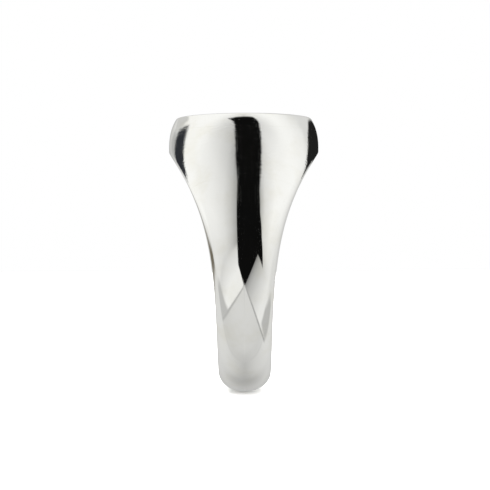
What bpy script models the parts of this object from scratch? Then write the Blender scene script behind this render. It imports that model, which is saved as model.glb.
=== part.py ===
"""Oval signet ring in sterling silver: a signet head with its table plate, two half shanks and the
solder joints that hold them together.

The origin is the centre of the finger hole. The finger goes through along X, the table faces +Z and
the hoop lies in the Y-Z plane. All values are metres and degrees.

Every outside face comes from one section, drawn in a plane through the finger axis. The angle of
that plane is measured from the top of the ring, 0 at the table and 180 at the back of the shank.
"""
import bmesh
import bpy
from math import acos, cos, degrees, exp, pi, radians, sin
from mathutils import Vector

MM = 0.001

# Finger hole and hoop.
BORE_DIAMETER = 19.0 * MM
BACK_THICKNESS = 1.7 * MM
SIDE_THICKNESS = 1.8 * MM
BACK_WIDTH = 4.5 * MM
BORE_EDGE_SOFTENING = 0.22 * MM

# Signet head.
HEAD_LENGTH = 13.0 * MM        # along the finger, at the girdle
HEAD_HEIGHT = 3.09 * MM        # from the finger hole up to the table
CROWN_HEIGHT = 5.62 * MM       # of the dome that the table is cut across
GIRDLE_HEIGHT = 0.45 * MM      # of the widest line of the head above the finger hole
PLATE_THICKNESS = 1.2 * MM

# How far down the hoop each feature of the head fades, in degrees.
WIDTH_SPREAD = 60.5
CROWN_SPREAD = 30.6
SIDE_SPREAD = 100.0
WALL_SPREAD = 16.8
SHOULDER_SPREAD = 70.0

# How suddenly they fade: 2 is a bell curve, more holds longer and then drops.
WIDTH_HOLD = 2.2
SIDE_HOLD = 6
SHOULDER_HOLD = 4

# Roundness of the section: 2 is an ellipse, more is squarer, less is more sloping.
SHANK_ROUNDNESS = 2.0
SHOULDER_ROUNDNESS = 1.5
HEAD_ROUNDNESS = 2.5

# Joints.
SEAM_GAP = 0.3 * MM            # between two pieces of silver
FILM_CLEARANCE = 0.05 * MM     # between the solder and the silver on each side of it
SHOULDER_SEAM_ANGLE = 52.0

# Mesh density.
HOOP_STATIONS = 72
WALL_ROWS = 11
EDGE_ROWS = 2
BORE_ROWS = 4
SHARP_EDGE_ANGLE = 35.0        # edges bent more than this are shaded as corners

BORE_RADIUS = BORE_DIAMETER / 2
TABLE_Z = BORE_RADIUS + HEAD_HEIGHT
PLATE_SEAM_Z = TABLE_Z - PLATE_THICKNESS
FILM_THICKNESS = SEAM_GAP - 2 * FILM_CLEARANCE
ON_PLANE = 1e-7


def fade(angle, spread, hold=2):
    """1 at the top of the ring, falling smoothly to 0 down the hoop."""
    return exp(-(abs(angle) / spread) ** hold)


def half_width(angle):
    back = BACK_WIDTH / 2
    return back + (HEAD_LENGTH / 2 - back) * fade(angle, WIDTH_SPREAD, WIDTH_HOLD)


def outer_radius(angle):
    side = (SIDE_THICKNESS - BACK_THICKNESS) * fade(angle, SIDE_SPREAD, SIDE_HOLD)
    crown = (CROWN_HEIGHT - SIDE_THICKNESS) * fade(angle, CROWN_SPREAD)
    return BORE_RADIUS + BACK_THICKNESS + side + crown


def girdle_radius(angle):
    return BORE_RADIUS + GIRDLE_HEIGHT * fade(angle, WIDTH_SPREAD)


def roundness(angle):
    shoulder = (SHOULDER_ROUNDNESS - SHANK_ROUNDNESS) * fade(angle, SHOULDER_SPREAD, SHOULDER_HOLD)
    head = (HEAD_ROUNDNESS - SHOULDER_ROUNDNESS) * fade(angle, WALL_SPREAD)
    return SHANK_ROUNDNESS + shoulder + head


def section(angle):
    """One half of the section, as (x, radius) points from the middle of the bore to the crown."""
    soft = min(BORE_EDGE_SOFTENING, BACK_THICKNESS / 3, BACK_WIDTH / 6)
    base = BORE_RADIUS + soft
    girdle = girdle_radius(angle)
    crown = outer_radius(angle)
    power = roundness(angle)

    def wall(radius):
        rise = max(0.0, radius - girdle) / (crown - girdle)
        return half_width(angle) * max(0.0, 1 - rise ** power) ** 0.5

    foot = wall(base) - soft
    points = [(foot * i / BORE_ROWS, BORE_RADIUS) for i in range(BORE_ROWS)]
    for i in range(EDGE_ROWS):
        turn = pi / 2 * i / EDGE_ROWS
        points.append((foot + soft * sin(turn), base - soft * cos(turn)))
    for i in range(WALL_ROWS):
        radius = base + (crown - base) * sin(pi / 2 * i / WALL_ROWS) ** (2 / power)
        points.append((wall(radius), radius))
    points.append((0.0, crown))
    return points


def make_blank():
    """The whole ring in one closed skin, with its head still domed."""
    bm = bmesh.new()
    rings = []
    for station in range(HOOP_STATIONS):
        turn = 2 * pi * station / HOOP_STATIONS
        angle = degrees(acos(max(-1.0, min(1.0, cos(turn)))))
        half = section(angle)
        closed = half + [(-x, radius) for x, radius in reversed(half[1:-1])]
        ring = [bm.verts.new((x, -radius * sin(turn), radius * cos(turn))) for x, radius in closed]
        rings.append(ring)
    for here, after in zip(rings, rings[1:] + rings[:1]):
        for i in range(len(here)):
            j = (i + 1) % len(here)
            bm.faces.new((here[i], here[j], after[j], after[i]))
    bmesh.ops.recalc_face_normals(bm, faces=bm.faces)
    return bm


def cut(bm, point, outward):
    """Slice the piece with a plane, drop what lies outward of it and close the cut."""
    geometry = bm.verts[:] + bm.edges[:] + bm.faces[:]
    sliced = bmesh.ops.bisect_plane(bm, geom=geometry, dist=ON_PLANE, plane_co=point,
                                    plane_no=outward, clear_outer=True)
    border = [e for e in sliced["geom_cut"] if isinstance(e, bmesh.types.BMEdge) and e.is_boundary]
    bmesh.ops.edgeloop_fill(bm, edges=border)


def shoulder_plane(side, offset):
    """The joint face on one shoulder: a point on it and the direction that leads up to the table.

    side is -1 for the left shoulder (-Y) and 1 for the right one; offset moves it towards the table.
    """
    turn = radians(SHOULDER_SEAM_ANGLE)
    towards_head = Vector((0, -side * cos(turn), sin(turn)))
    return towards_head * offset, towards_head


def silver_material(name, color, roughness_value):
    material = bpy.data.materials.new(name)
    material.use_nodes = True
    shader = material.node_tree.nodes["Principled BSDF"]
    shader.inputs["Base Color"].default_value = (*color, 1.0)
    shader.inputs["Metallic"].default_value = 1.0
    shader.inputs["Roughness"].default_value = roughness_value
    material.diffuse_color = (*color, 1.0)
    return material


def finish_piece(name, bm, material, parent):
    """Turn the sliced skin into a named object that hangs on the ring's own axis system."""
    bmesh.ops.recalc_face_normals(bm, faces=bm.faces)
    mesh = bpy.data.meshes.new(name)
    bm.to_mesh(mesh)
    bm.free()
    mesh.materials.append(material)
    mesh.shade_smooth()
    mesh.set_sharp_from_angle(angle=radians(SHARP_EDGE_ANGLE))
    piece = bpy.data.objects.new(name, mesh)
    bpy.context.scene.collection.objects.link(piece)
    piece.parent = parent
    return piece


def make_table_plate(material, parent):
    bm = make_blank()
    cut(bm, (0, 0, TABLE_Z), (0, 0, 1))
    cut(bm, (0, 0, PLATE_SEAM_Z + SEAM_GAP / 2), (0, 0, -1))
    finish_piece("table_plate", bm, material, parent)


def make_table_solder(material, parent):
    bm = make_blank()
    cut(bm, (0, 0, PLATE_SEAM_Z + FILM_THICKNESS / 2), (0, 0, 1))
    cut(bm, (0, 0, PLATE_SEAM_Z - FILM_THICKNESS / 2), (0, 0, -1))
    finish_piece("table_solder", bm, material, parent)


def make_signet_head(material, parent):
    bm = make_blank()
    cut(bm, (0, 0, PLATE_SEAM_Z - SEAM_GAP / 2), (0, 0, 1))
    for side in (-1, 1):
        point, upwards = shoulder_plane(side, SEAM_GAP / 2)
        cut(bm, point, -upwards)
    finish_piece("signet_head", bm, material, parent)


def make_shoulder_solder(name, side, material, parent):
    bm = make_blank()
    cut(bm, (0, 0, 0), (0, -side, 0))
    point, upwards = shoulder_plane(side, FILM_THICKNESS / 2)
    cut(bm, point, upwards)
    point, upwards = shoulder_plane(side, -FILM_THICKNESS / 2)
    cut(bm, point, -upwards)
    finish_piece(name, bm, material, parent)


def make_half_shank(name, side, material, parent):
    bm = make_blank()
    cut(bm, (0, side * SEAM_GAP / 2, 0), (0, -side, 0))
    point, upwards = shoulder_plane(side, -SEAM_GAP / 2)
    cut(bm, point, upwards)
    finish_piece(name, bm, material, parent)


def make_back_solder(material, parent):
    bm = make_blank()
    cut(bm, (0, 0, 0), (0, 0, 1))
    cut(bm, (0, FILM_THICKNESS / 2, 0), (0, 1, 0))
    cut(bm, (0, -FILM_THICKNESS / 2, 0), (0, -1, 0))
    finish_piece("back_solder", bm, material, parent)


def main():
    for leftover in list(bpy.data.objects):
        bpy.data.objects.remove(leftover, do_unlink=True)

    ring_axis = bpy.data.objects.new("ring_axis", None)
    bpy.context.scene.collection.objects.link(ring_axis)

    silver = silver_material("mirror polished sterling silver", (0.905, 0.9, 0.875), 0.05)
    solder = silver_material("hard silver solder", (0.86, 0.85, 0.81), 0.09)

    make_table_plate(silver, ring_axis)
    make_table_solder(solder, ring_axis)
    make_signet_head(silver, ring_axis)
    for side_name, side in (("left", -1), ("right", 1)):
        make_shoulder_solder(f"shoulder_solder_{side_name}", side, solder, ring_axis)
        make_half_shank(f"shank_{side_name}", side, silver, ring_axis)
    make_back_solder(solder, ring_axis)


main()
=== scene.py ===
from math import cos, pi, radians, sin

import bmesh
import bpy
import numpy as np
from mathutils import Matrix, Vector


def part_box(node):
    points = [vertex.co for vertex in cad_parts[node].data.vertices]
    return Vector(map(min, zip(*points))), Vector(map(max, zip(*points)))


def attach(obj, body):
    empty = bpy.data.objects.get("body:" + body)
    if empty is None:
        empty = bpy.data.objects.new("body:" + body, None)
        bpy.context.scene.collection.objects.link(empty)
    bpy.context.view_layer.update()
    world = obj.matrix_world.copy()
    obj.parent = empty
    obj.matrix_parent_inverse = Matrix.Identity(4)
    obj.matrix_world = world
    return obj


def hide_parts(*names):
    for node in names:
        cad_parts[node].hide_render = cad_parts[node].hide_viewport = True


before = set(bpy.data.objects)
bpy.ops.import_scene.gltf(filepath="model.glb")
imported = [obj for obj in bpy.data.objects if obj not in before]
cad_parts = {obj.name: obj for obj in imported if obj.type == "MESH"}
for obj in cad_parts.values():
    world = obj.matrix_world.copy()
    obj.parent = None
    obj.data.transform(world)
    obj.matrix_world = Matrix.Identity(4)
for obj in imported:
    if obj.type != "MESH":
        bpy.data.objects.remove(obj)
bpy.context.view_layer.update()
mm = 0.001


def hexToLinear(code):
    # sRGB hex, as picked in any paint program, to the linear values that the shader wants
    channels = [int(code[i:i + 2], 16) / 255 for i in (1, 3, 5)]
    return [c / 12.92 if c <= 0.04045 else ((c + 0.055) / 1.055) ** 2.4 for c in channels] + [1.0]


def addNode(tree, kind, settings=None, links=None):
    # settings: attribute names, or input names and numbers; links: input name or number -> output socket
    node = tree.nodes.new(kind)
    for key, value in (settings or {}).items():
        if isinstance(key, str) and hasattr(node, key):
            setattr(node, key, value)
        else:
            node.inputs[key].default_value = value
    for key, socket in (links or {}).items():
        tree.links.new(socket, node.inputs[key])
    return node


# The hoop lies in the Y-Z plane round the finger hole, and every outside face comes from one section
# whose shape changes with the angle down from the table: 0 at the table, 180 at the back.
ringForm = {
    "boreRadius": 9.5,
    "backThickness": 1.7,
    "sideThickness": 1.8,
    "backWidth": 4.5,
    "headLength": 13.0,
    "headHeight": 3.09,
    "crownHeight": 5.62,         # of the dome that the table is cut across
    "girdleHeight": 0.45,        # the widest line of the head, above the finger hole
    "edgeSoftening": 0.22,       # polishing rounds the edges of the finger hole by this much
    "widthSpread": 60.5,         # how far round the hoop each part of the form fades, in degrees
    "widthHold": 2.2,
    "crownSpread": 30.6,
    "sideSpread": 100.0,
    "sideHold": 6,
    "wallSpread": 16.8,
    "shoulderSpread": 70.0,
    "shoulderHold": 4,
    "shankRoundness": 2.0,       # 2 is an ellipse, more is squarer, less slopes more
    "shoulderRoundness": 1.5,
    "headRoundness": 2.5,
}
seams = {
    "tableAboveSeam": 1.2,       # thickness of the table plate
    "shoulderAngle": 52.0,
    "film": 0.03,                # what shows of a solder film once it is filed flush
}
skinDetail = {
    "stations": 360,             # round the hoop
    "wallRows": 44,              # from one finger edge up to the middle of the outside
    "edgeRows": 8,
    "boreRows": 5,
    "rimColumns": 360,           # round the table
    "rimWallRows": 14,
    "rimRoundRows": 8,
    "rimSoftening": 0.16,        # polishing rounds the rim of the table by this much
    "wearReach": 0.35,           # how far the wear of an edge reaches down from it
    "wearLean": 0.05,            # and only where the surface leans this much along the finger
    "cutTolerance": 1e-9,        # in metres, what counts as lying in a joint plane
}
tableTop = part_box("table_plate")[1][2] / mm
tableSeam = tableTop - seams["tableAboveSeam"]


def fade(angle, spread, hold=2):
    return np.exp(-(np.abs(angle) / spread) ** hold)


def halfWidth(angle):
    form = ringForm
    back = form["backWidth"] / 2
    return back + (form["headLength"] / 2 - back) * fade(angle, form["widthSpread"], form["widthHold"])


def outerRadius(angle):
    form = ringForm
    side = (form["sideThickness"] - form["backThickness"]) * fade(angle, form["sideSpread"], form["sideHold"])
    crown = (form["crownHeight"] - form["sideThickness"]) * fade(angle, form["crownSpread"])
    return form["boreRadius"] + form["backThickness"] + side + crown


def girdleRadius(angle):
    return ringForm["boreRadius"] + ringForm["girdleHeight"] * fade(angle, ringForm["widthSpread"])


def roundness(angle):
    form = ringForm
    shoulder = form["shoulderRoundness"] - form["shankRoundness"]
    head = form["headRoundness"] - form["shoulderRoundness"]
    shoulder = shoulder * fade(angle, form["shoulderSpread"], form["shoulderHold"])
    return form["shankRoundness"] + shoulder + head * fade(angle, form["wallSpread"])


def riseOf(radius, angle):
    # 0 at the widest line of the section, 1 at the middle of the outside
    girdle = girdleRadius(angle)
    return np.maximum(0.0, radius - girdle) / (outerRadius(angle) - girdle)


def wallX(radius, angle):
    return halfWidth(angle) * np.sqrt(np.maximum(0.0, 1 - riseOf(radius, angle) ** roundness(angle)))


def wallNormal(x, radius, angle):
    # normal of the wall inside its own section plane, as (along the finger, away from the finger)
    rise = riseOf(radius, angle)
    power = roundness(angle)
    along = 2 * x / halfWidth(angle) ** 2
    away = power * rise ** (power - 1) / (outerRadius(angle) - girdleRadius(angle))
    length = np.hypot(along, away)
    return along / length, away / length


def bend(start, corner, end, t):
    # a soft corner, drawn as a quadratic curve, with its outward normal
    point = [(1 - t) ** 2 * a + 2 * t * (1 - t) * b + t * t * c for a, b, c in zip(start, corner, end)]
    along = [(1 - t) * (b - a) + t * (c - b) for a, b, c in zip(start, corner, end)]
    length = np.hypot(*along)
    return point, (along[1] / length, -along[0] / length)


def halfSection(angle):
    # from the middle of the finger hole to the middle of the outside: x, radius and the normal there
    soft = ringForm["edgeSoftening"]
    bore = ringForm["boreRadius"]
    base = bore + soft
    crown = outerRadius(angle)
    shoulderX = wallX(base, angle)
    lean = wallNormal(shoulderX, base, angle)
    cornerX = shoulderX + lean[1] / lean[0] * soft
    reach = soft / lean[0]
    start, corner, end = (cornerX - reach, bore), (cornerX, bore), (shoulderX, base)
    rows = []
    for i in range(skinDetail["boreRows"]):
        rows.append((start[0] * i / skinDetail["boreRows"], bore, 0.0, -1.0))
    for i in range(skinDetail["edgeRows"]):
        point, normal = bend(start, corner, end, i / skinDetail["edgeRows"])
        rows.append((*point, *normal))
    for i in range(skinDetail["wallRows"]):
        climb = sin(pi / 2 * i / skinDetail["wallRows"]) ** (2 / roundness(angle))
        radius = base + (crown - base) * climb
        x = wallX(radius, angle)
        rows.append((x, radius, *wallNormal(x, radius, angle)))
    rows.append((0.0, crown, 0.0, 1.0))
    return np.array(rows)


def wholeSection(turn):
    # the closed section at a turn round the hoop, in space: points, and normals in its plane
    half = halfSection(np.degrees(np.arccos(np.clip(cos(turn), -1, 1))))
    mirrored = half[-2:0:-1] * [-1, 1, -1, 1]
    rows = np.vstack([half, mirrored])
    away = np.array([0.0, -sin(turn), cos(turn)])
    finger = np.array([1.0, 0.0, 0.0])
    points = np.outer(rows[:, 0], finger) + np.outer(rows[:, 1], away)
    normals = np.outer(rows[:, 2], finger) + np.outer(rows[:, 3], away)
    return points, normals


def trueNormals(flat, across, along):
    # normals square both to the section, whose own normals are flat, and to the way along the hoop
    section = np.cross(across, flat)
    normals = np.cross(section, along)
    normals *= np.sign(np.sum(normals * flat, axis=1, keepdims=True))
    return normals / np.linalg.norm(normals, axis=1, keepdims=True)


def wearAt(distance):
    # 1 on an edge, falling to 0 away from it
    return max(0.0, 1 - abs(distance) / skinDetail["wearReach"])


def makeBlank():
    # the whole ring as one closed skin, still domed, with its true normals kept on the vertices
    step = 2 * pi / skinDetail["stations"]
    nudge = step / 50
    bm = bmesh.new()
    keep = bm.verts.layers.float_vector.new("skinNormal")
    wear = bm.verts.layers.float.new("edgeWear")
    bm.faces.layers.int.new("jointFace")
    rings = []
    edgeRadius = ringForm["boreRadius"] + ringForm["edgeSoftening"]
    for station in range(skinDetail["stations"]):
        turn = step * station
        points, flat = wholeSection(turn)
        along = wholeSection(turn + nudge)[0] - wholeSection(turn - nudge)[0]
        across = np.array([0.0, -cos(turn), -sin(turn)])
        ring = []
        for point, normal in zip(points * mm, trueNormals(flat, across, along)):
            vertex = bm.verts.new(point)
            vertex[keep] = normal
            if abs(normal[0]) > skinDetail["wearLean"]:
                vertex[wear] = wearAt(np.hypot(point[1], point[2]) / mm - edgeRadius)
            ring.append(vertex)
        rings.append(ring)
    for here, after in zip(rings, rings[1:] + rings[:1]):
        for i, vertex in enumerate(here):
            j = (i + 1) % len(here)
            bm.faces.new((vertex, here[j], after[j], after[i]))
    bmesh.ops.recalc_face_normals(bm, faces=bm.faces)
    return bm


def cut(bm, point, outward):
    # slices with a plane, drops the outer part and closes the cut with a flat joint face
    joint = bm.faces.layers.int["jointFace"]
    everything = bm.verts[:] + bm.edges[:] + bm.faces[:]
    sliced = bmesh.ops.bisect_plane(bm, geom=everything, plane_co=point,
                                    dist=skinDetail["cutTolerance"],
                                    plane_no=outward, clear_outer=True)
    border = [e for e in sliced["geom_cut"] if isinstance(e, bmesh.types.BMEdge) and e.is_boundary]
    for face in bmesh.ops.edgeloop_fill(bm, edges=border)["faces"]:
        face[joint] = 1


def finishPiece(name, bm, nodes, material):
    # skin to object: true normals on the outside, flat ones on the joint faces, and its place in the frame
    bmesh.ops.recalc_face_normals(bm, faces=bm.faces)
    mesh = bpy.data.meshes.new(name)
    bm.to_mesh(mesh)
    bm.free()
    mesh.shade_smooth()
    skin = np.zeros(len(mesh.vertices) * 3)
    mesh.attributes["skinNormal"].data.foreach_get("vector", skin)
    skin = skin.reshape(-1, 3)
    skin /= np.linalg.norm(skin, axis=1, keepdims=True)
    joint = np.zeros(len(mesh.polygons), dtype=np.int32)
    mesh.attributes["jointFace"].data.foreach_get("value", joint)
    corners = np.zeros(len(mesh.loops), dtype=np.int32)
    mesh.loops.foreach_get("vertex_index", corners)
    normals = skin[corners]
    for polygon in mesh.polygons:
        if joint[polygon.index]:
            normals[polygon.loop_start:polygon.loop_start + polygon.loop_total] = polygon.normal
    mesh.attributes.remove(mesh.attributes["skinNormal"])
    mesh.attributes.remove(mesh.attributes["jointFace"])
    mesh.normals_split_custom_set(normals.tolist())
    mesh.materials.append(material)
    piece = bpy.data.objects.new(name, mesh)
    bpy.context.scene.collection.objects.link(piece)
    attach(piece, "root")
    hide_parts(*nodes)


def shoulderPlane(side, offset):
    turn = radians(seams["shoulderAngle"])
    towardsHead = Vector((0, -side * cos(turn), sin(turn)))
    return towardsHead * offset, towardsHead


# The rim and the table are drawn as level outlines of the same form.
def surfaceError(x, y, z):
    radius = np.hypot(y, z)
    angle = np.degrees(np.arctan2(np.abs(y), z))
    return (x / halfWidth(angle)) ** 2 + riseOf(radius, angle) ** roundness(angle) - 1


def outline(height, azimuth):
    # where the wall stands at a height, going round the table, found by halving
    low = np.full_like(azimuth, 0.5)
    high = np.full_like(azimuth, 12.0)
    for _ in range(50):
        middle = (low + high) / 2
        outside = surfaceError(middle * np.cos(azimuth), middle * np.sin(azimuth), height) > 0
        high = np.where(outside, middle, high)
        low = np.where(outside, low, middle)
    return np.stack([low * np.cos(azimuth), low * np.sin(azimuth), height], axis=1)


def outlineNormal(points):
    nudge = 1e-4
    slopes = []
    for axis in range(3):
        shift = np.zeros(3)
        shift[axis] = nudge
        slopes.append(surfaceError(*(points + shift).T) - surfaceError(*(points - shift).T))
    normal = np.stack(slopes, axis=1)
    return normal / np.linalg.norm(normal, axis=1, keepdims=True)


def levelRows(bottom, top, softTop):
    # rows of points and normals from the bottom to the top, rolled over onto the table if softTop is set
    count = skinDetail["rimColumns"]
    azimuth = 2 * pi * (np.arange(count) + 0.5) / count
    flat = np.full(count, top)
    shoulder = flat.copy()
    if softTop:
        steep = np.hypot(*outlineNormal(outline(flat, azimuth))[:, :2].T)
        shoulder = top - softTop * steep
    rows = []
    for i in range(skinDetail["rimWallRows"] + 1):
        height = bottom + (shoulder - bottom) * i / skinDetail["rimWallRows"]
        points = outline(height, azimuth)
        rows.append((points, outlineNormal(points)))
    if not softTop:
        return rows
    wall, wallWay = rows[-1]
    level = np.hypot(wallWay[:, 0], wallWay[:, 1])
    outwards = np.column_stack([wallWay[:, :2] / level[:, None], np.zeros(count)])
    up = np.array([0.0, 0.0, 1.0])
    lift = (top - wall[:, 2]) / level
    corner = wall + lift[:, None] * (np.outer(level, up) - outwards * wallWay[:, 2:3])
    end = corner - outwards * lift[:, None]
    for i in range(1, skinDetail["rimRoundRows"] + 1):
        t = i / skinDetail["rimRoundRows"]
        points = (1 - t) ** 2 * wall + 2 * t * (1 - t) * corner + t * t * end
        along = (1 - t) * (corner - wall) + t * (end - corner)
        inwards = -np.sum(along * outwards, axis=1)
        normals = outwards * along[:, 2:3] + np.outer(inwards, up)
        rows.append((points, normals / np.linalg.norm(normals, axis=1, keepdims=True)))
    return rows


def makeLevelPiece(bottom, top, softTop=0.0):
    rows = levelRows(bottom, top, softTop)
    bm = bmesh.new()
    keep = bm.verts.layers.float_vector.new("skinNormal")
    wear = bm.verts.layers.float.new("edgeWear")
    joint = bm.faces.layers.int.new("jointFace")
    rings = []
    for points, normals in rows:
        ring = []
        for point, normal in zip(points * mm, normals):
            vertex = bm.verts.new(point)
            vertex[keep] = normal
            if softTop:
                vertex[wear] = wearAt(top - point[2] / mm)
            ring.append(vertex)
        rings.append(ring)
    for lower, upper in zip(rings, rings[1:]):
        for i in range(len(lower)):
            j = (i + 1) % len(lower)
            bm.faces.new((lower[i], lower[j], upper[j], upper[i]))
    for ring in (rings[0][::-1], rings[-1]):
        bm.faces.new(ring)[joint] = 1
    return bm


# Sterling silver, mirror polished on a buffing wheel. To the eye it is nearly white, with edges of
# reflections that waver a little where the wheel crossed the file marks, and a few loose hairlines.
silverFinish = {
    "name": "sterlingSilverMirrorPolished",
    "color": "#F8F8F5",
    "breathColor": "#F3F2EB",    # a first breath of tarnish, in wide faint clouds
    "cloudWidth": 3.0,
    "cloudPeaks": (0.42, 0.72),
    "polish": 0.018,             # roughness, before anything below is added to it
    "cloudRoughness": 0.012,
    "buffSpacing": 0.15,         # waves left across the hoop, each as long as the wheel's track
    "buffLength": 0.9,
    "buffHeight": 0.008,
    "buffFrom": (5.5, 8.0),      # they fade in between these heights, the shank is drawn smoother
    "buffTo": (11.2, 11.9),      # and out again just under the rim
    "buffPatch": 3.4,            # and come and go in patches of this width
    "buffPeaks": (0.15, 0.6),
    "hairlineWidth": 0.16 / 3,   # real hairlines are 0.01 mm wide; these are drawn coarser to show
    "hairlineLength": (5.0, 3.5),    # along the finger, and round the hoop
    "hairlinePeaks": (0.675, 0.735),
    "hairlineDepth": 0.00012,
    "hairlineRoughness": 0.09,
    "wearRoughness": 0.10,       # rims and edges are rubbed by other fingers and by pockets
    "nickWidth": 0.35,
    "nickPeaks": (0.45, 0.75),
    "boreRoughness": 0.11,       # inside, a stick of emery and a soft brush leave lines round the hoop
    "boreSpacing": 0.09,
    "boreLength": 7.0,
    "boreHeight": 0.0004,
    "boreFade": (0.10, 0.02),    # from the skin of the finger hole to the polish outside
}
# Hard silver solder, filed flush and polished with the silver: a shade greyer, and a touch softer.
solderFinish = {
    **silverFinish,
    "name": "hardSilverSolderFiledFlush",
    "color": "#F5F5F0",
    "breathColor": "#EBE9DF",
    "polish": 0.03,
}


def streaks(tree, place, along, spacing, length, detail=2.0):
    # noise drawn out along one axis: 0 runs along the finger, 1 round the hoop
    sizes = [length, spacing, spacing] if along == 0 else [spacing, length, length]
    stretched = addNode(tree, "ShaderNodeVectorMath",
                        {"operation": "DIVIDE", 1: [size * mm for size in sizes]}, {0: place})
    noise = addNode(tree, "ShaderNodeTexNoise", {"Scale": 1.0, "Detail": detail, "Roughness": 0.5},
                    {"Vector": stretched.outputs[0]})
    return noise.outputs[0]


def peaks(tree, pattern, levels):
    # rises from 0 at the first level of a pattern to 1 at the second
    low, high = levels
    risen = addNode(tree, "ShaderNodeMapRange", {"interpolation_type": "SMOOTHSTEP", 1: low, 2: high},
                    {0: pattern})
    return risen.outputs[0]


def multiply(tree, pattern, other):
    return addNode(tree, "ShaderNodeMath", {"operation": "MULTIPLY"}, {0: pattern, 1: other}).outputs[0]


def polishedSilver(finish):
    material = bpy.data.materials.new(finish["name"])
    material.use_nodes = True
    tree = material.node_tree
    shader = tree.nodes["Principled BSDF"]
    shader.inputs["Metallic"].default_value = 1.0
    place = addNode(tree, "ShaderNodeTexCoord").outputs["Object"]

    # where the surface is: 1 inside the finger hole, and 1 on the softened edges
    part = addNode(tree, "ShaderNodeSeparateXYZ", {}, {0: place}).outputs
    upright = addNode(tree, "ShaderNodeCombineXYZ", {}, {"Y": part["Y"], "Z": part["Z"]})
    radius = addNode(tree, "ShaderNodeVectorMath", {"operation": "LENGTH"}, {0: upright.outputs[0]})
    limits = [(ringForm["boreRadius"] + fadeAt) * mm for fadeAt in finish["boreFade"]]
    inside = addNode(tree, "ShaderNodeMapRange", {1: limits[0], 2: limits[1]},
                     {0: radius.outputs["Value"]}).outputs[0]
    outside = addNode(tree, "ShaderNodeMath", {"operation": "SUBTRACT", 0: 1.0}, {1: inside}).outputs[0]
    edge = addNode(tree, "ShaderNodeAttribute", {"attribute_name": "edgeWear"}).outputs["Fac"]

    clouds = addNode(tree, "ShaderNodeTexNoise",
                     {"Scale": 1 / (finish["cloudWidth"] * mm), "Detail": 3.0, "Roughness": 0.6},
                     {"Vector": place}).outputs[0]
    cloudy = peaks(tree, clouds, finish["cloudPeaks"])
    color = addNode(tree, "ShaderNodeMix", {"data_type": "RGBA", 6: hexToLinear(finish["color"]),
                                           7: hexToLinear(finish["breathColor"])}, {"Factor": cloudy})
    tree.links.new(color.outputs[2], shader.inputs["Base Color"])

    patches = addNode(tree, "ShaderNodeTexNoise",
                      {"Scale": 1 / (finish["buffPatch"] * mm), "Detail": 1.0}, {"Vector": place}).outputs[0]
    waves = streaks(tree, place, 0, finish["buffSpacing"], finish["buffLength"])
    waves = multiply(tree, multiply(tree, waves, peaks(tree, patches, finish["buffPeaks"])), outside)
    for heights in (finish["buffFrom"], finish["buffTo"][::-1]):
        waves = multiply(tree, waves, peaks(tree, part["Z"], [height * mm for height in heights]))
    lines, across = [streaks(tree, place, along, finish["hairlineWidth"], length, 0.0)
                     for along, length in enumerate(finish["hairlineLength"])]
    lines = addNode(tree, "ShaderNodeMath", {"operation": "MAXIMUM"}, {0: lines, 1: across}).outputs[0]
    lines = multiply(tree, peaks(tree, lines, finish["hairlinePeaks"]), outside)
    rings = multiply(tree, streaks(tree, place, 1, finish["boreSpacing"], finish["boreLength"], 3.0), inside)
    nicks = addNode(tree, "ShaderNodeTexNoise", {"Scale": 1 / (finish["nickWidth"] * mm), "Detail": 2.0},
                    {"Vector": place}).outputs[0]
    nicks = multiply(tree, peaks(tree, nicks, finish["nickPeaks"]), edge)

    roughness = None
    for pattern, amount in ((clouds, finish["cloudRoughness"]), (lines, finish["hairlineRoughness"]),
                            (nicks, finish["wearRoughness"]), (inside, finish["boreRoughness"]),
                            (rings, finish["boreRoughness"] / 2)):
        below = finish["polish"] if roughness is None else 0.0
        added = addNode(tree, "ShaderNodeMath", {"operation": "MULTIPLY_ADD", 1: amount, 2: below},
                        {0: pattern})
        if roughness is not None:
            tree.links.new(roughness.outputs[0], added.inputs[2])
        roughness = added
    tree.links.new(roughness.outputs[0], shader.inputs["Roughness"])

    normal = None
    for pattern, height in ((waves, finish["buffHeight"]), (lines, -finish["hairlineDepth"]),
                            (nicks, -finish["hairlineDepth"]), (rings, finish["boreHeight"])):
        bump = addNode(tree, "ShaderNodeBump", {"Strength": 1.0, "Distance": abs(height) * mm,
                                                "invert": height < 0}, {"Height": pattern})
        if normal is not None:
            tree.links.new(normal.outputs[0], bump.inputs["Normal"])
        normal = bump
    tree.links.new(normal.outputs[0], shader.inputs["Normal"])
    return material


silver = polishedSilver(silverFinish)
solder = polishedSilver(solderFinish)
print("silver and solder finishes done")


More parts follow.
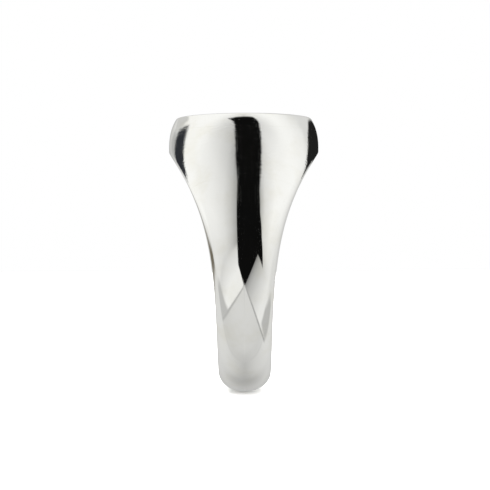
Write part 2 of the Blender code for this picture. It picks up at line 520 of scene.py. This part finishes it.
def makePieces():
    film = seams["film"] * mm / 2
    seamZ = tableSeam * mm

    plate = makeLevelPiece(tableSeam + seams["film"] / 2, tableTop, skinDetail["rimSoftening"])
    finishPiece("tablePlate", plate, ["table_plate"], silver)
    tableFilm = makeLevelPiece(tableSeam - seams["film"] / 2, tableSeam + seams["film"] / 2)
    finishPiece("tableSolder", tableFilm, ["table_solder"], solder)
    print("table plate and its solder done")

    blank = makeBlank()
    head = blank.copy()
    cut(head, (0, 0, seamZ - film), (0, 0, 1))
    for side in (-1, 1):
        point, upwards = shoulderPlane(side, film)
        cut(head, point, -upwards)
    finishPiece("signetHead", head, ["signet_head"], silver)
    print("signet head done")

    for sideName, side in (("Left", -1), ("Right", 1)):
        shank = blank.copy()
        cut(shank, (0, side * film, 0), (0, -side, 0))
        point, upwards = shoulderPlane(side, -film)
        cut(shank, point, upwards)
        finishPiece("shank" + sideName, shank, ["shank_" + sideName.lower()], silver)

        shoulderFilm = blank.copy()
        cut(shoulderFilm, (0, 0, 0), (0, -side, 0))
        point, upwards = shoulderPlane(side, film)
        cut(shoulderFilm, point, upwards)
        point, upwards = shoulderPlane(side, -film)
        cut(shoulderFilm, point, -upwards)
        name = "shoulderSolder" + sideName
        finishPiece(name, shoulderFilm, ["shoulder_solder_" + sideName.lower()], solder)

    backFilm = blank
    cut(backFilm, (0, 0, 0), (0, 0, 1))
    cut(backFilm, (0, film, 0), (0, 1, 0))
    cut(backFilm, (0, -film, 0), (0, -1, 0))
    finishPiece("backSolder", backFilm, ["back_solder"], solder)
    print("shanks and their solder done")


makePieces()

# The studio, as the ring sees it: two tall white boards with a dark gap between them that the camera
# looks through, a white table and a white backdrop. A place is (azimuth, elevation) in degrees, seen
# from the ring: azimuth 0 is the camera's side, 90 is +X and 180 is behind.
studio = {
    "cameraDistance": 104.0,
    "cameraHeight": 1.56,
    "cameraAside": 0.07,
    "cameraRoll": 0.25,
    "lens": 87.2,
    "floorSize": 900.0,
    "floorColor": "#F4F4F2",
    "floorLight": 3.0,           # so much of it that only a contact shadow is left
    "lowLight": 20.0,            # and more from low at the front, which reaches under the hoop
    "lowLightReach": 30.0,
    "paper": "#FFFFFE",
    "around": [(-180, 0.35), (-160, 0.65), (-130, 0.78), (-110, 0.94), (-90, 0.98), (-60, 0.89),
               (-40, 0.78), (-25, 0.60), (-14, 0.40), (30, 0.42), (40, 0.77), (60, 0.98), (90, 1.0),
               (110, 0.92), (132, 0.72), (155, 0.72), (180, 0.35)],
    "upwards": [(-40, 0.80), (0, 0.86), (12, 0.95), (25, 1.0), (50, 0.98), (60, 0.93), (75, 0.72),
                (90, 0.60)],
}
flapLight = [(-3, 0.64), (6, 0.75), (20, 0.90)]
foldLight = [(-2, 0.02), (0, 0.22), (5, 0.39), (11, 0.50), (24, 0.65), (46, 0.84)]
tableLight = [(-40, 0.52), (0, 0.60), (10, 0.65), (45, 0.70)]
rearLight = [(0, 0.50), (20, 0.63), (45, 0.73)]
gapLight = 0.004
towardsCamera = ((-90, 0), (90, 10))
# Cards of paper and black cloth, from the back to the front. A card lies on the inner side of each
# straight edge, and its corners are joined by such edges. Its light is one level, or levels at so many
# degrees inwards of its first edge, or of the edge in "measured".
cards = {
    "backdropTop": {"edges": [((90, 0), (-90, 80)), ((90, 50), (180, 50), 12)], "inside": (180, 75),
                    "soft": 6, "light": 1.0},
    "leftFlap": {"edges": [((-20, 12), (-70, -10)), ((0, 0), (0, 60))], "inside": (-50, -30),
                 "soft": 3, "light": flapLight},
    "rightFlap": {"edges": [((0, -20), (30, 5), 1), ((48, -3), (95, -14))], "inside": (50, -30),
                  "soft": 6, "light": foldLight},
    "rightPoint": {"corners": [(0, -20), (30, 5), (48, -7)], "soft": 1, "light": foldLight},
    "gap": {"corners": [(0, -21), (31, 5), (31, 62), (-14, 65), (-14, -2)], "soft": 0.8, "light": gapLight},
    "gapBelow": {"corners": [(20, 44), (28, 44), (38, 15), (20, 15)], "soft": 0.8, "light": gapLight},
    "gapPoint": {"corners": [(24, 25), (24, 9), (49, -7), (33, 25)], "soft": 0.8, "light": gapLight},
    "gapWaist": {"corners": [(-14, 62), (0, 50), (31, 55), (41, 67), (0, 74)],
                 "soft": 0.9, "light": gapLight},
    "gapAbove": {"corners": [(-86, 83), (90, 83), (76, 78), (53, 72), (41, 67), (-15, 64)],
                 "soft": 0.9, "light": gapLight},
    "gapHook": {"corners": [(-90, 78), (-50, 82), (-75, 87)], "soft": 0.6, "light": gapLight},
    "leftTable": {"edges": [((-2, -21), (-95, -30)), ((0, 0), (0, 60)), ((90, -1), (180, -30), 12)],
                  "inside": (-50, -70), "soft": 1.2, "light": tableLight, "measured": towardsCamera},
    "rightTable": {"edges": [((2, -20), (105, -41)), ((0, 0), (0, 60)), ((90, -1), (180, -30), 12)],
                   "inside": (50, -70), "soft": 1.2, "light": tableLight, "measured": towardsCamera},
    "leftRear": {"edges": [((0, 0), (0, 60)), ((90, -3), (180, -8), 6), ((-90, 0), (90, 10), 12)],
                 "inside": (-160, -40), "soft": 0.5, "light": rearLight},
    "rightRear": {"edges": [((0, 0), (0, 60)), ((90, -3), (180, -8), 6), ((-90, 0), (90, 10), 12)],
                  "inside": (160, -40), "soft": 0.5, "light": rearLight},
    "leftShade": {"corners": [(-100, -13), (-84, -13), (-57, -36), (-96, -30)], "soft": 3, "light": 0.53},
    "rightShade": {"corners": [(72, -42), (104, -41), (118, -15), (100, -17), (80, -28)], "soft": 3,
                   "light": 0.50},
    "leftLine": {"corners": [(-2, -20), (-95, -29), (-95, -31), (-2, -22)], "soft": 1, "light": 0.48},
    "rightLine": {"corners": [(2, -19), (105, -40), (105, -42), (2, -21)], "soft": 1, "light": 0.38},
    "nearLine": {"edges": [((-93, -30), (95, -41)), ((-91, -30), (93, -41)), ((-90, 0), (90, 1), 30)],
                 "inside": (180, -86), "soft": 0.7, "light": 0.56},
    "underShade": {"corners": [(-150, -38), (150, -38), (160, -62), (-160, -62)], "soft": 14, "light": 0.42},
    "leftStreak": {"corners": [(-140, -3), (-104, -3), (-104, -8), (-140, -8)], "soft": 2, "light": 0.17,
                   "color": "#FFF3D8"},
    "leftHaze": {"corners": [(-127, 38), (-150, 16), (-155, 4), (-130, 4)], "soft": 6, "light": 0.46},
    "leftFold": {"corners": [(-128, 42), (-133, 22), (-156, 20), (-156, 34)], "soft": 1.5, "light": 0.62},
    "rightFold": {"corners": [(122, 44), (146, 28), (118, 30)], "soft": 2.5, "light": 0.72},
    "leftCloth": {"corners": [(-120, 44), (-111, 32), (-107, 18), (-120, 4), (-138, 6), (-132, 28)],
                  "soft": 1.2, "light": 0.036, "color": "#E2EAFF"},
    "rightCloth": {"corners": [(143, 27), (125, 30), (116, 23), (120, 5), (160, -1), (178, 2)],
                   "soft": 1.2, "light": 0.014},
}


def towards(place):
    azimuth, elevation = radians(place[0]), radians(place[1])
    level = cos(elevation)
    return Vector((sin(azimuth) * level, -cos(azimuth) * level, sin(elevation)))


def lightRamp(tree, value, stops):
    # light levels set at values, with straight slopes between them
    low, high = stops[0][0], stops[-1][0]
    place = addNode(tree, "ShaderNodeMapRange", {1: low, 2: high}, {0: value})
    ramp = addNode(tree, "ShaderNodeValToRGB", {}, {0: place.outputs[0]})
    points = ramp.color_ramp.elements
    while len(points) < len(stops):
        points.new(1.0)
    for point, (at, level) in zip(points, stops):
        point.position = (at - low) / (high - low)
        point.color = (level, level, level, 1.0)
    return ramp.outputs["Color"]


def inwardsOf(tree, direction, edge, inside):
    # how far a direction lies inwards of a straight edge, which lies in a plane through the ring
    across = towards(edge[0]).cross(towards(edge[1])).normalized()
    if across.dot(inside) < 0:
        across.negate()
    return addNode(tree, "ShaderNodeVectorMath", {"operation": "DOT_PRODUCT", 1: across}, {0: direction})


def holdCard(tree, direction, behind, card):
    # paints one card over the colour of what is behind it
    edges = card.get("edges")
    if edges:
        inside = towards(card["inside"])
    else:
        corners = card["corners"]
        edges = list(zip(corners, corners[1:] + corners[:1]))
        inside = sum((towards(corner) for corner in corners), Vector())
    cover = None
    for edge in edges:
        soft = sin(radians(edge[2] if len(edge) > 2 else card["soft"]))
        inwards = inwardsOf(tree, direction, edge, inside)
        side = addNode(tree, "ShaderNodeMapRange", {"interpolation_type": "SMOOTHSTEP", 1: -soft, 2: soft},
                       {0: inwards.outputs["Value"]})
        if cover is None:
            cover = side
        else:
            cover = addNode(tree, "ShaderNodeMath", {"operation": "MULTIPLY"},
                            {0: cover.outputs[0], 1: side.outputs[0]})
    color = hexToLinear(card.get("color", studio["paper"]))
    mix = addNode(tree, "ShaderNodeMix", {"data_type": "RGBA"}, {"Factor": cover.outputs[0], 6: behind})
    if isinstance(card["light"], float):
        mix.inputs[7].default_value = [c * card["light"] for c in color[:3]] + [1.0]
        return mix.outputs[2]
    start = edges[0]
    if "measured" in card:
        start = card["measured"]
        inside = towards((0, 0))
    inwards = inwardsOf(tree, direction, start, inside)
    degrees = addNode(tree, "ShaderNodeMath", {"operation": "ARCSINE"}, {0: inwards.outputs["Value"]})
    degrees = addNode(tree, "ShaderNodeMath", {"operation": "DEGREES"}, {0: degrees.outputs[0]})
    tinted = addNode(tree, "ShaderNodeVectorMath", {"operation": "MULTIPLY", 1: color[:3]},
                     {0: lightRamp(tree, degrees.outputs[0], card["light"])})
    tree.links.new(tinted.outputs[0], mix.inputs[7])
    return mix.outputs[2]


def lightStudio():
    world = bpy.data.worlds.new("whiteBoardStudio")
    bpy.context.scene.world = world
    world.use_nodes = True
    tree = world.node_tree
    tree.nodes.clear()
    direction = addNode(tree, "ShaderNodeTexCoord").outputs["Generated"]
    part = addNode(tree, "ShaderNodeSeparateXYZ", {}, {0: direction}).outputs
    front = addNode(tree, "ShaderNodeMath", {"operation": "MULTIPLY", 1: -1.0}, {0: part["Y"]}).outputs[0]
    turn = addNode(tree, "ShaderNodeMath", {"operation": "ARCTAN2"}, {0: part["X"], 1: front})
    azimuth = addNode(tree, "ShaderNodeMath", {"operation": "DEGREES"}, {0: turn.outputs[0]})
    rise = addNode(tree, "ShaderNodeMath", {"operation": "ARCSINE"}, {0: part["Z"]})
    elevation = addNode(tree, "ShaderNodeMath", {"operation": "DEGREES"}, {0: rise.outputs[0]})
    around = lightRamp(tree, azimuth.outputs[0], studio["around"])
    upwards = lightRamp(tree, elevation.outputs[0], studio["upwards"])
    walls = addNode(tree, "ShaderNodeVectorMath", {"operation": "MULTIPLY"}, {0: around, 1: upwards})
    paper = hexToLinear(studio["paper"])
    walls = addNode(tree, "ShaderNodeVectorMath", {"operation": "MULTIPLY", 1: paper[:3]},
                    {0: walls.outputs[0]})
    seen = walls.outputs[0]
    for card in cards.values():
        seen = holdCard(tree, direction, seen, card)
    # the ring mirrors the cards, the floor is lit more evenly, and the camera sees plain white
    low = addNode(tree, "ShaderNodeMapRange", {1: 0.0, 2: sin(radians(studio["lowLightReach"])),
                                              3: 1.0, 4: 0.0}, {0: part["Z"]})
    near = addNode(tree, "ShaderNodeMath", {"operation": "MULTIPLY", "use_clamp": True},
                   {0: low.outputs[0], 1: front})
    floorLight = addNode(tree, "ShaderNodeMath", {"operation": "MULTIPLY_ADD", 1: studio["lowLight"],
                                                  2: studio["floorLight"]}, {0: near.outputs[0]})
    ray = addNode(tree, "ShaderNodeLightPath").outputs
    mirrored = addNode(tree, "ShaderNodeBackground", {}, {"Color": seen})
    onFloor = addNode(tree, "ShaderNodeBackground", {}, {"Strength": floorLight.outputs[0]})
    onFloor.inputs["Color"].default_value = (1, 1, 1, 1)
    plain = addNode(tree, "ShaderNodeBackground", {"Color": (1, 1, 1, 1)})
    lit = addNode(tree, "ShaderNodeMixShader", {},
                  {0: ray["Is Diffuse Ray"], 1: mirrored.outputs[0], 2: onFloor.outputs[0]})
    shown = addNode(tree, "ShaderNodeMixShader", {},
                    {0: ray["Is Camera Ray"], 1: lit.outputs[0], 2: plain.outputs[0]})
    addNode(tree, "ShaderNodeOutputWorld", {}, {"Surface": shown.outputs[0]})


# Matt white seamless paper, uncoated: it shows no gloss, only the shadow where the ring stands.
def layFloor():
    half = studio["floorSize"] * mm / 2
    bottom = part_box("shank_left")[0][2]
    mesh = bpy.data.meshes.new("studioFloor")
    mesh.from_pydata([(-half, -half, bottom), (half, -half, bottom), (half, half, bottom),
                      (-half, half, bottom)], [], [(0, 1, 2, 3)])
    paper = bpy.data.materials.new("whiteStudioPaper")
    paper.use_nodes = True
    shader = paper.node_tree.nodes["Principled BSDF"]
    shader.inputs["Base Color"].default_value = hexToLinear(studio["floorColor"])
    shader.inputs["Roughness"].default_value = 0.9
    shader.inputs["Specular IOR Level"].default_value = 0.0
    mesh.materials.append(paper)
    floor = bpy.data.objects.new("studioFloor", mesh)
    bpy.context.scene.collection.objects.link(floor)
    floor.visible_glossy = False


def addCamera():
    data = bpy.data.cameras.new("camera")
    data.lens = studio["lens"]
    data.clip_start = 1 * mm
    camera = bpy.data.objects.new("camera", data)
    camera.location = Vector((studio["cameraAside"], -studio["cameraDistance"], studio["cameraHeight"])) * mm
    camera.rotation_euler = (radians(90), radians(studio["cameraRoll"]), 0)
    bpy.context.scene.collection.objects.link(camera)
    bpy.context.scene.camera = camera


addCamera()
layFloor()
lightStudio()
bpy.context.scene.view_settings.view_transform = "Standard"
print("camera, floor and studio light done")
